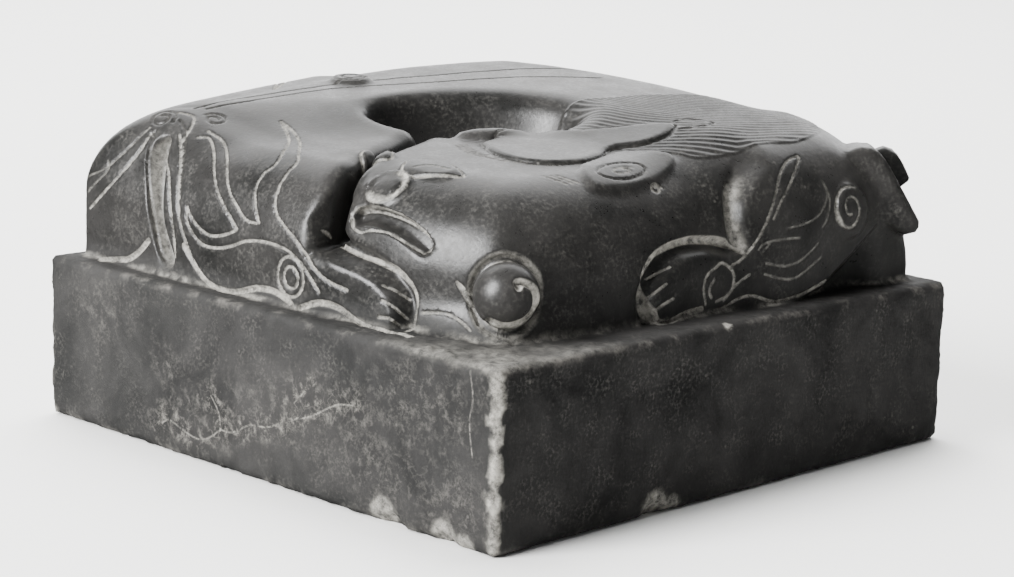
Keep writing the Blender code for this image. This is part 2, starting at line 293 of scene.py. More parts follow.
def around(x, y, points, reach):
    """Which places lie in the points' own rectangle, widened by the reach."""
    low = points.min(0) - reach
    high = points.max(0) + reach
    return (x > low[0]) & (x < high[0]) & (y > low[1]) & (y < high[1])


def line_distance(x, y, points, reach=4.0):
    """Distance to a line, worked out only within reach of it."""
    points = np.asarray(points, float)
    best = np.full(x.shape, FAR)
    near = around(x, y, points, reach)
    if not near.any():
        return best
    px, py = x[near], y[near]
    closest = np.full(px.shape, FAR)
    for a, b in zip(points, points[1:]):
        ab = b - a
        t = np.clip(((px - a[0]) * ab[0] + (py - a[1]) * ab[1]) / max(ab @ ab, 1e-9), 0, 1)
        closest = np.minimum(closest, np.hypot(px - a[0] - t * ab[0], py - a[1] - t * ab[1]))
    best[near] = closest
    return best


def outline_distance(x, y, points, reach=9.0):
    """Distance to a closed outline, negative inside it."""
    points = np.asarray(points, float)
    distance = line_distance(x, y, np.vstack([points, points[:1]]), reach)
    near = distance < FAR
    px, py = x[near], y[near]
    inside = np.zeros(px.shape, bool)
    for a, b in zip(points, np.roll(points, -1, axis=0)):
        if a[1] == b[1]:
            continue
        crosses = (a[1] > py) != (b[1] > py)
        inside ^= crosses & (px < (b[0] - a[0]) * (py - a[1]) / (b[1] - a[1]) + a[0])
    distance[near] = np.where(inside, -distance[near], distance[near])
    return distance


def oval(a, b, centre, radii):
    """About the distance to an oval, negative inside it."""
    k = np.hypot((a - centre[0]) / radii[0], (b - centre[1]) / radii[1])
    return (k - 1) * min(radii)


def rough(points, size, seed=0.0):
    """Uneven values from about -1 to 1, with lumps of the size."""
    shifted = points / size + seed
    return np.array([noise.noise(Vector(p)) for p in shifted])


# The beast
def legs(x, y, z):
    """How far the legs, haunches and shoulders stand out of the walls."""
    out = np.zeros(len(x))
    for along, across, side in ((x, y, -1), (y, x, -1), (y, x, 1), (x, y, 1)):
        near = side * across > LEG_INNER
        shape = HIND_LEG if side < 0 else FORE_LEG
        lift, paw_lift = LEG_LIFTS[side]
        lift = lift + (paw_lift - lift) * ease(*LEG_THINS[side], along[near])
        amount = lift * ease(*LEG_EDGE, outline_distance(along[near], z[near], shape))
        if side > 0:
            hollow = outline_distance(along[near], z[near], BELLY_HOLLOW)
            amount = amount - HOLLOW_DEPTH * ease(*HOLLOW_EDGE, hollow)
        out[near] = np.maximum(out[near], amount * ease(LEG_INNER, LEG_OUTER, side * across[near]))
    return out


def body(x, y, z):
    """Distance to the coiled body: u runs along the picture's width, v away from its camera."""
    u = (x + y) / ROOT2
    v = (y - x) / ROOT2
    plan = smooth_max(np.abs(x) - WALL, np.abs(y) - WALL, WALL_CORNER)
    plan = smooth_max(plan, -v - NEAR_CORNER - NEAR_FLARE * ease(*NEAR_FLARE_HEIGHTS, z), NEAR_ROUNDING)
    plan = smooth_max(plan, v - FAR_CORNER, FAR_ROUNDING)
    plan = plan - legs(x, y, z)
    rise = np.clip((z - LEFT_ROUNDS_FROM) / (LEFT_ROUNDING + 0.5), 0, 0.99)
    left = -u - LEFT_CORNER + LEFT_ROUNDING * (1 - np.sqrt(1 - rise ** 2))
    right = u - RIGHT_CORNER + RIGHT_LEAN * np.maximum(z - RIGHT_START, 0)
    plan = smooth_max(smooth_max(plan, left, LEFT_EDGE), right, RIGHT_EDGE)
    top = CREST + SLOPE * v - DROOP * (u / (DRAWN_SIDE / 2)) ** 2
    top = top - HEAD_DROP * ease(*HEAD_DROPS_TOWARD, v) * ease(*HEAD_DROPS_BESIDE, y)
    return rounded(plan, z - top, SHOULDER_ROUNDING)


def egg(x, y, z, centre, radii, turn):
    """Distance to an egg shape, turned about the vertical by the angle in degrees."""
    turn = np.radians(turn)
    x, y, z = x - centre[0], y - centre[1], z - centre[2]
    along = x * np.cos(turn) + y * np.sin(turn)
    across = y * np.cos(turn) - x * np.sin(turn)
    scaled = np.stack([along, across, z], -1)
    radii = np.asarray(radii)
    near = np.linalg.norm(scaled / radii, axis=1)
    far = np.linalg.norm(scaled / radii ** 2, axis=1)
    return near * (near - 1) / np.maximum(far, 1e-9)


def gap(x, y, z):
    """Distance to the gap between the snout and the haunch."""
    return np.maximum(line_distance(x, y, GAP_PATH, GAP_SEARCH) - GAP_WIDTH / 2, GAP_FLOOR - z)


def tuft(x, y, z, shape, depth):
    """Distance to a tuft: its outline on the corner, and its front and back."""
    u = (x + y) / ROOT2
    v = (y - x) / ROOT2
    thickness = np.abs(v - sum(depth) / 2) - (depth[1] - depth[0]) / 2
    return rounded(outline_distance(u, z, shape, TUFT_REACH), thickness, TUFT_EDGE)


def from_nose(x, y, z):
    """Distance to the middle of the nose."""
    return np.sqrt((x - NOSE[0]) ** 2 + (y - NOSE[1]) ** 2 + (z - NOSE[2]) ** 2)


def from_ball(points):
    """Distance to the middle of the ball."""
    return np.linalg.norm(points - np.array(BALL_CENTRE), axis=1)


def raised(x, y, z):
    """Horn, near ear, curls, eyes and nose: how far each stands out."""
    out = np.zeros(len(x))
    on_top = ease(*TOP_START, z)
    for shape, (height, edge) in ((HORN, HORN_RISE), (NEAR_EAR, NEAR_EAR_RISE)):
        shape = curve(shape + shape[:1])[:-1]
        out = np.maximum(out, height * ease(RISE_STARTS, -edge, outline_distance(x, y, shape)) * on_top)
    for along, across in ((y, x), (x, y)):
        amount = CURL_RISE * ease(*CURL_EDGE, oval(along, z, CURL, CURL_RADII)) * ease(*CURL_WALL, across)
        out = np.maximum(out, amount)
    back_curl = oval(x, y, BACK_CURL, BACK_CURL_RADII)
    out = np.maximum(out, BACK_CURL_RISE * ease(*CURL_EDGE, back_curl) * on_top)
    for centre, radii in EYES:
        out = np.maximum(out, EYE_HEIGHT * ease(*EYE_EDGE, oval(x, y, centre, radii)) * on_top)
    return np.maximum(out, NOSE_RISE * ease(*NOSE_EDGE, from_nose(x, y, z) - NOSE_RING))


def groove(along, up, path, cut):
    """How deep a broad groove is cut at each place."""
    depth, half_width, floor = cut
    return depth * ease(half_width, floor, line_distance(along, up, curve(path)))


def carved(x, y, z):
    """Mouth, tail, shoulder and paw grooves: how deep each is cut."""
    out = groove(x, z, MOUTH, MOUTH_CUT) * ease(*NEAR_WALL, y)
    for along, across in ((x, y), (y, x)):
        for wall, path, cut in ((NEAR_WALL, TAIL_FLUTE, TAIL_CUT),
                                (NEAR_WALL, HIND_PAW_GROOVE, HIND_PAW_CUT),
                                (FAR_WALL, SHOULDER_FLUTE, SHOULDER_CUT),
                                (FAR_WALL, FORE_PAW_GROOVE, FORE_PAW_CUT)):
            out += groove(along, z, path, cut) * ease(*wall, across)
    depth, half_width, floor = NOSE_CUT
    return out + depth * ease(half_width, floor, np.abs(from_nose(x, y, z) - NOSE_RADIUS))


def beast(points):
    """Distance to the carving, negative inside the stone."""
    x, y, z = points.T
    form = body(x, y, z)
    edge = PIT_EDGE + (PIT_EDGE_AT_HAUNCH - PIT_EDGE) * ease(*PIT_EDGE_CHANGES, (x + y) / ROOT2)
    form = smooth_max(form, -egg(x, y, z, PIT_CENTRE, PIT_RADII, PIT_TURN), edge)
    form = smooth_max(form, -gap(x, y, z), GAP_EDGE)
    form = form - raised(x, y, z) + carved(x, y, z)
    far_ear = egg(x, y, z, FAR_EAR_CENTRE, FAR_EAR_RADII, FAR_EAR_TURN)
    form = smooth_min(form, far_ear, FAR_EAR_FILLET)
    for shape, depth in ((TUFT_A, TUFT_A_DEPTH), (TUFT_B, TUFT_B_DEPTH)):
        form = smooth_min(form, tuft(x, y, z, shape, depth), TUFT_FILLET)
    ball = from_ball(points)
    form = smooth_max(form, np.minimum(SOCKET_RADIUS - ball, form + SOCKET_DEPTH), SOCKET_EDGE)
    return smooth_min(form, ball - BALL_RADIUS, BALL_FILLET)


# The block, with its wear
EDGE_ROUNDING = 0.6
CHIP_EDGE = 0.35
# Chips out of the block's edges: middle, radius
CHIPS = [((30, -51.6, -0.9), 3.4), ((27.2, -51.2, -0.6), 2.2), ((40.5, -51.8, -1.0), 3.4),
         ((44.5, -51.4, -0.9), 2.4), ((36.5, -51.0, -0.8), 1.8), ((52.2, -18.2, -0.9), 3.8),
         ((51.6, -14.6, -0.9), 2.4), ((52.0, -52.0, 0.5), 3.2), ((-52.5, -50.5, 0.2), 3.4),
         ((50.9, -50.9, 14.5), 1.5), ((50.9, -50.9, 19.6), 1.6), ((51.0, -51.0, 24.8), 1.9),
         ((50.8, -50.8, 7.0), 1.2), ((3.0, -51.0, 26.4), 1.5), ((-21, -51.0, 26.5), 1.6),
         ((51.2, 9.0, 26.6), 1.6), ((51.1, 33.0, 26.6), 1.8)]
FOOT_FILLET = 0.8
BEAST_FROM = DRAWN_BLOCK - 2


def block(points):
    """Distance to the worn block, negative inside it."""
    half = np.array([DRAWN_SIDE / 2, DRAWN_SIDE / 2, DRAWN_BLOCK / 2])
    middle = np.array([0, 0, DRAWN_BLOCK / 2])
    room = np.abs(points - middle) - half + EDGE_ROUNDING
    form = np.minimum(room.max(1), 0) + np.linalg.norm(np.maximum(room, 0), axis=1) - EDGE_ROUNDING
    for centre, radius in CHIPS:
        form = smooth_max(form, radius - np.linalg.norm(points - np.array(centre), axis=1), CHIP_EDGE)
    return form


def stone_form(points):
    """Distance to the whole stone: the beast grows out of the block."""
    form = block(points)
    high = points[:, 2] > BEAST_FROM
    form[high] = smooth_min(beast(points[high]), form[high], FOOT_FILLET)
    return form


# Incised lines of the haunch, the tail and the hind foot, along and up a wall
HIND_LINES = [
    (FINE, [(-25.5, 53), (-21, 51.5), (-17, 48), (-14, 44), (-11.5, 41), (-9, 39), (-6.5, 37.2), (-4, 37)]),
    (FINE, [(-26, 51), (-24, 51.5), (-20.5, 48.5), (-17, 44), (-14, 40.5), (-10.5, 37.5), (-8, 35.3)]),
    (FINE, [(-8, 35.3), (-11, 34), (-14.3, 33.5), (-17.2, 34.5), (-19.2, 36), (-20.2, 37.2)]),
    (FINE, [(-20.2, 37.2), (-19.7, 34.7), (-18, 33), (-15.7, 31.8), (-12.2, 31.9), (-9, 32.7),
            (-5.8, 33.9), (-1.7, 34.4), (2, 34.2), (4.3, 33.6), (7.3, 31.9), (10.3, 29)]),
    (FINE, [(-18.7, 60.7), (-14, 57.5), (-8.8, 53), (-6.5, 49), (-7.2, 46.5), (-6.8, 43), (-5.6, 40.5),
            (-4, 38), (-3.5, 37.2)]),
    (FINE, [(-18.7, 60.7), (-14.6, 59), (-9.7, 56), (-3.5, 51), (-2.8, 48), (-2.4, 44.5), (-1.7, 41.7),
            (0, 39), (3, 37), (5, 35.8), (7.3, 34), (9.4, 32.2), (12, 31), (15.5, 30.6)]),
    (FINE, spiral((4.2, 30.2), (2.8, 2.9), 80, 1)),
    (FINE, spiral((4.3, 30.1), (1.5, 1.6), 80, 1)),
    (FINE, [(1.5, 29), (2.6, 27.4), (4.5, 26.3)]),
    (BROAD, [(-20.4, 31), (-18.6, 29.3), (-15.7, 26.9), (-12.7, 25.9), (-8.2, 25.9), (-3.4, 27.3),
             (0.9, 27.5), (4.5, 26.3)]),
    (BROAD, [(6.4, 26), (10.3, 27.5), (14, 27.7), (19, 26.3), (28, 26.6)]),
    (FINE, [(20.9, 33.2), (22.4, 33.3), (23.9, 33)]),
    (FINE, [(21.5, 30.7), (23.1, 30.6), (24.2, 30)]),
    (FINE, [(21, 28.2), (23, 28.5), (24, 28.3)]),
    (BROAD, [(8, 39.2), (11.4, 38), (14.8, 37.4), (18, 37.2), (22, 36.5), (24.5, 35), (25.5, 33),
             (25.4, 30.6), (25.3, 28)]),
    (CLEAN, [(-34.6, 50), (-33.7, 47.8), (-32.9, 44.7), (-30.3, 39.2), (-28.9, 35.4), (-27.6, 31.6),
             (-26.5, 29.2), (-25.7, 28.5)]),
    (FINE, [(-31.8, 47.2), (-27.3, 43), (-24.5, 37.7), (-23, 33), (-22.5, 29)]),
    (FINE, [(-29.6, 50.6), (-26.8, 47), (-24.1, 41.8), (-21.3, 34.2), (-19.3, 30.7), (-17.9, 28.5)]),
    (CLEAN, [(-32, 53.7), (-28.5, 50.8), (-25.4, 45.6), (-23, 40), (-21.8, 36)]),
    (FAINT, [(-40.9, 42), (-40.4, 40), (-44.5, 36)]),
    (FINE, [(-35, 49.3), (-35.2, 44), (-38.8, 38), (-44, 33.4)]),
    (FAINT, [(-36, 50.5), (-37.6, 45), (-41, 40.5), (-45, 38.5)]),
    (BROAD, [(-29, 30.5), (-31.4, 28.4), (-34, 26.9), (-36.5, 26.4), (-41, 25.6)]),
]
# Incised lines of the shoulder, the curls and the fore foot
FORE_LINES = [
    (FINE, [(-9.4, 35.3), (-11.2, 35), (-12.7, 34.7)]),
    (FINE, [(-10.6, 32.6), (-12.2, 32), (-13.4, 31.5)]),
    (FINE, [(-8.9, 30.3), (-11, 29.7), (-12.5, 29.2)]),
    (BROAD, [(6.1, 35.5), (3.5, 38), (-1.8, 39.2), (-6.1, 39.3), (-11.3, 38.1), (-14, 35.6), (-14, 33.4),
             (-13.7, 30.7), (-13, 29), (-12, 27.2)]),
    (FINE, [(0.3, 33.8), (-1.6, 32.9), (-2.4, 31.1), (-1.7, 28.6)]),
    (FINE, [(0, 32.1), (-1, 30.9), (-0.9, 30), (-0.5, 29.4)]),
    (FINE, [(0.3, 33.8), (1.5, 34.3), (3.7, 32.7), (4, 30.7), (3.1, 29.3), (0.5, 28.7)]),
    (BROAD, [(-11.7, 27.3), (-9.9, 27), (-5.9, 27.8), (-2.6, 28)]),
    (FINE, [(-0.3, 27.4), (2.3, 27.6), (5, 28.3), (7.8, 28.2), (12.1, 26.4), (17.9, 26.6), (24.1, 28)]),
    (FINE, [(3.6, 33.6), (5.4, 34.2), (8.4, 36.7), (12, 42.2), (14.7, 46.3), (18, 49), (21.3, 50)]),
    (FINE, [(21.4, 49.6), (17.4, 45.6), (13.3, 41.7), (11.3, 39)]),
    (FINE, [(2.2, 28.6), (4.3, 30.4), (7, 31.5)]),
    (FAINT, [(9, 34.2), (10.6, 35.4)]),
    (FAINT, [(23.8, 44.4), (24, 41.4), (22, 38.8), (19.2, 37.5), (13.7, 37)]),
    (FAINT, [(24, 43.8), (24.4, 40.4), (23.5, 37.8), (22.4, 36.4)]),
    (FAINT, [(8.5, 34.9), (10, 35.7), (17, 35.3)]),
    (FAINT, [(10, 32.6), (14, 31.4), (18, 32), (21.5, 34)]),
    (FAINT, [(9.8, 31), (13.4, 29.6), (17, 29.4), (22.4, 31.8)]),
    (FINE, spiral((28.2, 38.2), (3.5, 4.2), 60, 1.6, 0.22)),
    (FINE, spiral((-6.7, 49.4), (1.2, 1.2), 0, 1.3, 0.3)),
]
# Incised lines of the snout
SNOUT_LINES = [
    (FINE, [(10.6, 43.4), (11.1, 44.4), (12.4, 45.2), (15, 45.7), (19.9, 45.3), (24.2, 44), (26.2, 42.6),
            (25.6, 41)]),
    (FINE, [(10.8, 43.2), (12, 41.4), (14, 40.8), (15.7, 41.5), (19, 41.9), (22, 41.2), (25.6, 40.4)]),
    (FINE, [(26.8, 31.4), (29.7, 32.3), (31.3, 32.5), (33.3, 32), (34.8, 31.2)]),
    (FINE, [(35.6, 32.6), (33.4, 35.4), (31.7, 37.6), (34.6, 35.6)]),
]
# Incised lines seen from above
TOP_LINES = [
    (FINE, [(13.6, -34.2), (12.2, -31.8), (12.4, -30), (13.8, -28.6), (16.2, -28.5), (19.5, -29.6),
            (23.4, -31.2), (21.5, -33), (18.7, -34.4), (16, -35), (13.6, -34.2)]),
    (FAINT, [(15.6, -33.4), (17.2, -31.6), (20.6, -31.4)]),
    (FINE, [(3, -32.4), (2.2, -30), (3.6, -28.8), (6.4, -29.6), (8.8, -31.6), (7, -33), (4.4, -33.2),
            (3, -32.4)]),
    (CLEAN, [(-33.3, -34.4), (-30.8, -25.5), (-28.1, -11.3), (-24.3, 0.3), (-21.3, 8.7), (-17.4, 21),
             (-12, 30)]),
    (CLEAN, [(-31.5, -33.8), (-28.4, -27.4), (-25.6, -13.5), (-20.5, -3.1), (-17, 4.5), (-12.5, 16),
             (-4.8, 27)]),
    (CLEAN, spiral(BACK_CURL, (3.4, 2.6), 200, 1.3, 0.35)),
    (CLEAN, spiral((-35.4, -39), (2.6, 1.9), 0, 1.4, 0.3)),
    (CLEAN, spiral((-27.4, -35.2), (2.4, 1.7), 180, -1.4, 0.3)),
    (FINE, [(-33.8, -37), (-30.8, -36.6), (-28.8, -38.6), (-28, -41.4)]),
    (CLEAN, spiral((34.4, -10.6), (2.0, 4.6), 20, 1)),
    (FAINT, spiral((34.6, -10.4), (0.9, 2.4), 100, 1.2, 0.4)),
    (FAINT, [(30.3, -22.4), (32, -22), (33.8, -21.2)]),
    (FAINT, [(30.6, -21.4), (32.2, -21), (34, -20.2)]),
    (FAINT, [(31, -20.4), (32.6, -20), (34.2, -19.2)]),
    (CLEAN, [(24.5, 11.5), (24.9, 15), (28.4, 16.6), (29, 13.4), (27.4, 9.5)]),
    (CLEAN, HORN + HORN[:1]),
]
# Short hair strokes that stand side by side along the brow, under the horn
BROW = [(8.5, -18.5), (13, -20.6), (18, -20.8), (23, -19.6), (27, -16.5)]
BROW_STROKE = 1.5
BROW_SPACING = 0.9

# Where the ball's spiral cut runs, to the right of its middle and up, as seen from a little
# above: the cosine and sine of that view. Its depth, and where its sides start and end
BALL_LINE = [(-2.4, -3.5), (0, -4.1), (2.4, -3.4), (3.8, -1.9), (4.05, -0.1), (3.5, 1.3), (2.3, 1.9),
             (1.3, 1.9), (1.6, 1.2)]
BALL_VIEW = (0.98, 0.19)
BALL_CUT_DEPTH = 0.7
BALL_CUT_SIDES = (0.62, 0.1)
BALL_CUT_REACH = 0.8
BALL_LINE_HALF_WIDTH = 0.55
BALL_LINE_REACH = 2
BALL_LINE_DUST = 0.9
# Pale nicks and specks: middle, radius
NICKS = [((10.6, -40, 46.2), 0.7), ((45.4, 1.4, 43.8), 0.6), ((45.6, 6.8, 45.6), 0.8),
         ((49.6, -3.4, 25.5), 0.9), ((-2, -44, 41.5), 0.5), ((0.6, -44.6, 41), 0.45),
         ((-12, -45.4, 46), 0.35), ((4, -45, 47), 0.4)]
# Places laid bare at chips in the block, and the bare edge at the near corner: middle, radius
BARE = [((28.5, -50, 1.4), 3.0), ((40.5, -50, 1.0), 2.8), ((44.5, -50, 0.6), 2.0), ((50, -18.0, 1.0), 3.2),
        ((50, -14.4, 0.8), 2.0), ((-49.5, -50, 0.4), 1.8)]
NEAR_EDGE_BARE = 1.0
# Pale bloom on the front of the block: middle along and up, radii
BLOOM = [((-13, 7), (9, 6)), ((-1, 9.5), (10, 5.5)), ((10, 12), (11, 6)), ((22, 15), (12, 5.5)),
         ((36, 19), (12, 6)), ((28, 8), (14, 5)), ((-20, 13), (4, 4)), ((42, 6), (9, 6)),
         ((-36, 19), (6, 5))]
# Pale cracks on the front of the block, along and up it
CRACK = (0.14, 0.05, 0.5)
CRACK_LINES = [
    (CRACK, [(-21, 4.2), (-19, 5), (-15, 3.9), (-11.7, 3.5), (-9, 4.6), (-7, 5.9), (-4, 6.2), (-0.2, 8.1),
             (4, 8.6), (8.7, 10.7), (13, 12), (18.3, 14.7), (22, 15.4)]),
    (CRACK, [(-7, 5.9), (-7.4, 8.4), (-9.4, 10.8)]),
    (CRACK, [(8.7, 10.7), (9.6, 13.4), (12.6, 16)]),
    (CRACK, [(44.7, 24.7), (45.4, 21), (44.9, 17.4), (45.6, 13)]),
]


def hair_strokes():
    """Faint short lines at even distances along the brow."""
    line = curve(BROW, 8)
    run = np.concatenate([[0], np.cumsum(np.hypot(*np.diff(line, axis=0).T))])
    strokes = []
    for place in np.arange(0, run[-1], BROW_SPACING):
        x = np.interp(place, run, line[:, 0])
        y = np.interp(place, run, line[:, 1])
        strokes.append((FAINT, [(x, y), (x + 0.5 * BROW_STROKE, y + BROW_STROKE)]))
    return strokes


def walls_of(points):
    """For each side of the beast: its lines, the place along and up it, and which points are there."""
    x, y, z = points.T
    in_view = z > LINES_IN_VIEW_FROM
    others = z > OTHER_LINES_FROM
    front = z + WALL_LEAN * (y + FRONT_FACE)
    left = z + WALL_LEAN * (x + FRONT_FACE)
    right = z + WALL_LEAN * (SIDE_FACE - x)
    back = z + WALL_LEAN * (SIDE_FACE - y)
    block_front = (y < CRACK_REACH - DRAWN_SIDE / 2) & (z < DRAWN_BLOCK - 0.5)
    return [(HIND_LINES, x, front, in_view & (y < -WALL_START) & (y < x) & (x < WALL_END)),
            (HIND_LINES, y, left, others & (x < -WALL_START) & (x < y) & (y < WALL_END)),
            (FORE_LINES, y, right, in_view & (x > WALL_START) & (x > y) & (y > -WALL_END)),
            (FORE_LINES, x, back, others & (y > WALL_START) & (y > x) & (x > -WALL_END)),
            (SNOUT_LINES, x, front, in_view & (y < SNOUT_FRONT) & (x > SNOUT_SIDE)),
            (TOP_LINES + hair_strokes(), x, y, z > TOP_FLOOR),
            (CRACK_LINES, x, z, block_front)]


def incised(points):
    """Incised lines: depth, distance beyond the nearest one's edge, and how dusty that one is."""
    depth = np.zeros(len(points))
    nearest = np.full(len(points), FAR)
    dust = np.zeros(len(points))
    for lines, along, up, here in walls_of(points):
        a, b = along[here], up[here]
        cut, close, held = depth[here], nearest[here], dust[here]
        for (half_width, deep, dusty), path in lines:
            distance = line_distance(a, b, curve(path, LINE_STEPS), LINE_SEARCH)
            section = ease(half_width, LINE_FLOOR * half_width, distance)
            cut = np.maximum(cut, deep * section)
            held = np.where(distance - half_width < close, dusty, held)
            close = np.minimum(close, distance - half_width)
        depth[here], nearest[here], dust[here] = cut, close, held
    return depth, nearest, dust


def ball_cut(points):
    """The spiral cut in the ball: depth, and distance to its middle line."""
    x, y, z = (points - np.array(BALL_CENTRE)).T
    toward = (x - y) / ROOT2
    on_ball = (toward > 0) & (from_ball(points) < BALL_RADIUS + BALL_CUT_REACH)
    distance = np.full(len(points), FAR)
    sideways = ((x + y) / ROOT2)[on_ball]
    upward = (z * BALL_VIEW[0] - BALL_VIEW[1] * toward)[on_ball]
    distance[on_ball] = line_distance(sideways, upward, curve(BALL_LINE, 5))
    return BALL_CUT_DEPTH * ease(*BALL_CUT_SIDES, distance), distance


def mane(points):
    """How far points lie inside the mane and clear of horn and ear, and which lock they lie on.

    The locks leave the rim of the hollow square on, and bend round to run along the shoulder.
    """
    x, y, z = points.T
    inside = -outline_distance(x, y, curve(MANE + MANE[:1])[:-1], MANE_REACH)
    inside = np.where(z > MANE_FLOOR, inside, -FAR)
    clear = np.ones(len(x))
    for shape in (HORN, NEAR_EAR):
        clear = clear * np.clip(outline_distance(x, y, shape, MANE_REACH) - MANE_CLEARANCE, 0, 1)
    a = np.abs(x - MANE_CENTRE[0]) / MANE_RADII[0]
    b = np.abs(y - MANE_CENTRE[1]) / MANE_RADII[1]
    lock = (a ** MANE_SQUARENESS + b ** MANE_SQUARENESS) ** (1 / MANE_SQUARENESS) * MANE_RADII[0]
    return inside, clear, lock


# Dust in the broad grooves: how much lies there, and where it fades out across them
TAIL_DUST = (0.45, 1.9, 0.9)
SHOULDER_DUST = (0.5, 0.9, 0.3)
SHOULDER_DUST_HEIGHTS = (45, 42)
NOSE_DUST = (0.85, 0.6, 0.3)


def broad_dust(x, y, z):
    """Dust that lies in the tail's and the shoulder's flutes and round the nose."""
    out = np.zeros(len(x))
    low = ease(*SHOULDER_DUST_HEIGHTS, z)
    for along, across in ((x, y), (y, x)):
        tail = groove(along, z, TAIL_FLUTE, TAIL_DUST) * ease(*NEAR_WALL, across)
        shoulder = groove(along, z, SHOULDER_FLUTE, SHOULDER_DUST) * ease(*FAR_WALL, across) * low
        out = np.maximum(out, np.maximum(tail, shoulder))
    amount, start, end = NOSE_DUST
    round_nose = np.abs(from_nose(x, y, z) - 0.5 * (NOSE_RADIUS + NOSE_RING) - 0.1)
    # It lies on the side of the nose that is toward the ball, and fades out over the top
    low_side = ease(-0.5, 1.0, (x - NOSE[0]) - 0.6 * (z - NOSE[2]) + 1.2)
    return np.maximum(out, amount * low_side * ease(start, end, round_nose))


# The stone's mesh
class Detail:
    """Lengths of the mesh's edges, in millimetres, and how far from a feature each one holds."""
    LINE = 0.34
    LINE_REACH = 0.4
    SOCKET_REACH = 0.4
    MANE = 0.30
    MANE_REACH = 0.5
    RELIEF = 0.52
    RELIEF_STEP = 0.16
    BODY = 1.15
    LEDGE = 1.0
    LEDGE_ABOVE = 0.6
    LEDGE_BELOW = 0.9
    BLOCK = 2.6
    BLOCK_EDGE = 0.7
    BLOCK_EDGE_REACH = 1.3
    BLOCK_EDGE_ABOVE = 0.5
    CHIP_REACH = 0.6
    UNDER = 7.0
    UNDER_ABOVE = 0.05
    # The shortest edge that each round of splitting may leave
    ROUNDS = (6.0, 3.0, 1.6, 1.0, 0.6, 0.4, 0.28)
    # An edge is split where it is this many times as long as wanted
    TOLERANCE = 1.4


def read_points(mesh):
    """The places of a mesh's vertices, one row for each."""
    points = np.empty(len(mesh.vertices) * 3)
    mesh.vertices.foreach_get("co", points)
    return points.reshape(-1, 3)


def write_points(mesh, points):
    """Move a mesh's vertices to the places in the rows."""
    mesh.vertices.foreach_set("co", np.ascontiguousarray(points, dtype=np.float32).ravel())
    mesh.update()


def read_normals(mesh):
    """Which way the mesh faces at each vertex."""
    normals = np.empty(len(mesh.vertices) * 3)
    mesh.vertex_normals.foreach_get("vector", normals)
    return normals.reshape(-1, 3)


# How a point is settled on the form: the step that its slope is measured over, the least
# slope that counts, the furthest move in one go, and how often it moves
SLOPE_STEP = 0.02
LEAST_SLOPE = 0.5
FURTHEST_MOVE = 0.5
SETTLING_MOVES = 2


def settle(points):
    """Move points along the slope of the form until they lie on its surface."""
    for _ in range(SETTLING_MOVES):
        value = stone_form(points)
        steps = [stone_form(points + SLOPE_STEP * axis) - value for axis in np.eye(3)]
        slope = np.stack(steps, -1) / SLOPE_STEP
        length = np.maximum((slope ** 2).sum(1), LEAST_SLOPE ** 2)
        move = -(value / length)[:, None] * slope
        size = np.linalg.norm(move, axis=1)[:, None]
        points = points + move * np.minimum(1, FURTHEST_MOVE / np.maximum(size, 1e-9))
    return points


def edge_closeness(points):
    """How near points lie to the block's edges, in millimetres."""
    half = np.array([DRAWN_SIDE / 2, DRAWN_SIDE / 2, DRAWN_BLOCK / 2])
    room = np.sort(half - np.abs(points - np.array([0, 0, DRAWN_BLOCK / 2])), axis=1)
    return np.maximum(room[:, 1], 0)


def wanted_length(points):
    """How long an edge may be at each point."""
    z = points[:, 2]
    low = z < DRAWN_BLOCK - Detail.LEDGE_BELOW
    wanted = np.where(low, Detail.BLOCK, Detail.BODY)
    wanted = np.where((z < DRAWN_BLOCK + Detail.LEDGE_ABOVE) & ~low, Detail.LEDGE, wanted)
    wanted = np.where(z < Detail.UNDER_ABOVE, Detail.UNDER, wanted)
    near_edge = edge_closeness(points) < Detail.BLOCK_EDGE_REACH
    near_edge = near_edge & (z < DRAWN_BLOCK + Detail.BLOCK_EDGE_ABOVE)
    wanted = np.where(near_edge, Detail.BLOCK_EDGE, wanted)
    nearest = incised(points)[1]
    nearest = np.minimum(nearest, from_ball(points) - SOCKET_RADIUS - Detail.SOCKET_REACH)
    wanted = np.where(nearest < Detail.LINE_REACH, np.minimum(wanted, Detail.LINE), wanted)
    for centre, radius in BARE + NICKS:
        away = np.linalg.norm(points - np.array(centre), axis=1)
        close = away < radius + Detail.CHIP_REACH
        wanted = np.where(close, np.minimum(wanted, Detail.BLOCK_EDGE), wanted)
    inside, clear, _ = mane(points)
    combed = (inside > -Detail.MANE_REACH) & (clear > 0)
    return np.where(combed, np.minimum(wanted, Detail.MANE), wanted)


# Angles between faces, in radians: an edge with one face counts as sharp, and one below the
# second may be turned
SHARP = 1.0
FLAT = 0.5


